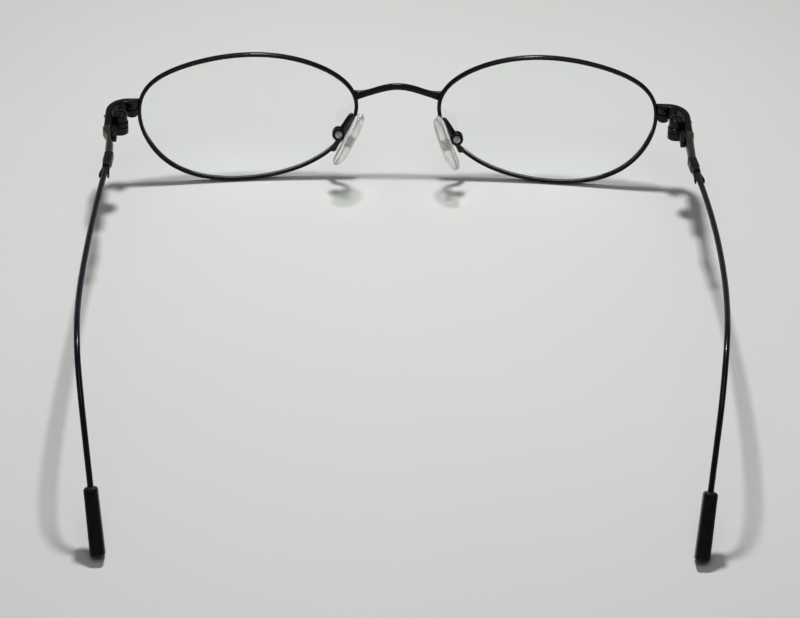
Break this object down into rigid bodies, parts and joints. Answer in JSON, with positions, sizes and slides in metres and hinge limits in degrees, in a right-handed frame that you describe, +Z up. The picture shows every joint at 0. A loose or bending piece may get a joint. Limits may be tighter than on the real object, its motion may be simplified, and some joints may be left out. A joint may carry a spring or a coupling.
{
  "type": "spectacle frame for a magnetic clip",
  "caption": "Oval wire-rim spectacle frame with clear lenses, screwed nose pads and folding bent-wire temples, made to carry a magnetic clip.",
  "frame": {"origin": "middle of the footprint, on the table it stands on", "axes": "+X to the wearer's left, +Y from the lenses back along the temples, +Z up"},
  "size_m": [0.1298, 0.1348, 0.0319],
  "materials": {
    "black_lacquer": "glossy black lacquer over steel wire",
    "blue_black_lacquer": "glossy blue-black lacquer over steel",
    "olive_metal": "satin dark olive-grey",
    "dark_screw": "blackened steel",
    "nickel": "nickel plated steel",
    "lens_plastic": "clear demo lens plastic",
    "pad_silicone": "clear soft silicone",
    "black_plastic": "satin black acetate"
  },
  "bodies": {
    "front": {"eyewire_left": "black_lacquer", "eyewire_right": "black_lacquer", "bridge": "black_lacquer", "end_piece_left": "black_lacquer", "end_piece_right": "black_lacquer", "closing_block_upper_left": "black_lacquer", "closing_block_upper_right": "black_lacquer", "closing_block_lower_left": "black_lacquer", "closing_block_lower_right": "black_lacquer", "rim_screw_left": "nickel", "rim_screw_right": "nickel", "lens_left": "lens_plastic", "lens_right": "lens_plastic", "pad_arm_left": "black_lacquer", "pad_arm_right": "black_lacquer", "pad_box_left": "black_lacquer", "pad_box_right": "black_lacquer", "pad_screw_left": "nickel", "pad_screw_right": "nickel", "clip_magnet_left": "nickel", "clip_magnet_right": "nickel", "end_stud_left": "nickel", "end_stud_right": "nickel", "hinge_front_left": "black_lacquer", "hinge_front_right": "black_lacquer", "hinge_screw_left": "dark_screw", "hinge_screw_right": "dark_screw"},
    "temple_left": {"hinge_temple_left": "black_lacquer", "temple_front_left": "olive_metal", "temple_collar_left": "blue_black_lacquer", "temple_wire_left": "blue_black_lacquer", "temple_tip_left": "black_plastic"},
    "pad_left": {"pad_core_left": "nickel", "nose_pad_left": "pad_silicone"},
    "temple_right": {"hinge_temple_right": "black_lacquer", "temple_front_right": "olive_metal", "temple_collar_right": "blue_black_lacquer", "temple_wire_right": "blue_black_lacquer", "temple_tip_right": "black_plastic"},
    "pad_right": {"pad_core_right": "nickel", "nose_pad_right": "pad_silicone"}
  },
  "joints": [
    {"name": "temple_hinge_left", "type": "hinge", "parent": "front", "child": "temple_left", "pos_m": [0.0597, -0.05251, 0.01941], "axis": [0, -0.1409, 0.99], "range_deg": [0, 90]},
    {"name": "temple_hinge_right", "type": "hinge", "parent": "front", "child": "temple_right", "pos_m": [-0.0597, -0.05251, 0.01941], "axis": [0, -0.1409, 0.99], "range_deg": [-84, 0]},
    {"name": "pad_rock_left", "type": "hinge", "parent": "front", "child": "pad_left", "pos_m": [0.0128, -0.05758, 0.01361], "axis": [0, 0.9655, 0.2605], "range_deg": [-3, 9]},
    {"name": "pad_rock_right", "type": "hinge", "parent": "front", "child": "pad_right", "pos_m": [-0.0128, -0.05736, 0.0128], "axis": [0, 0.9655, 0.2605], "range_deg": [-3, 9]}
  ]
}
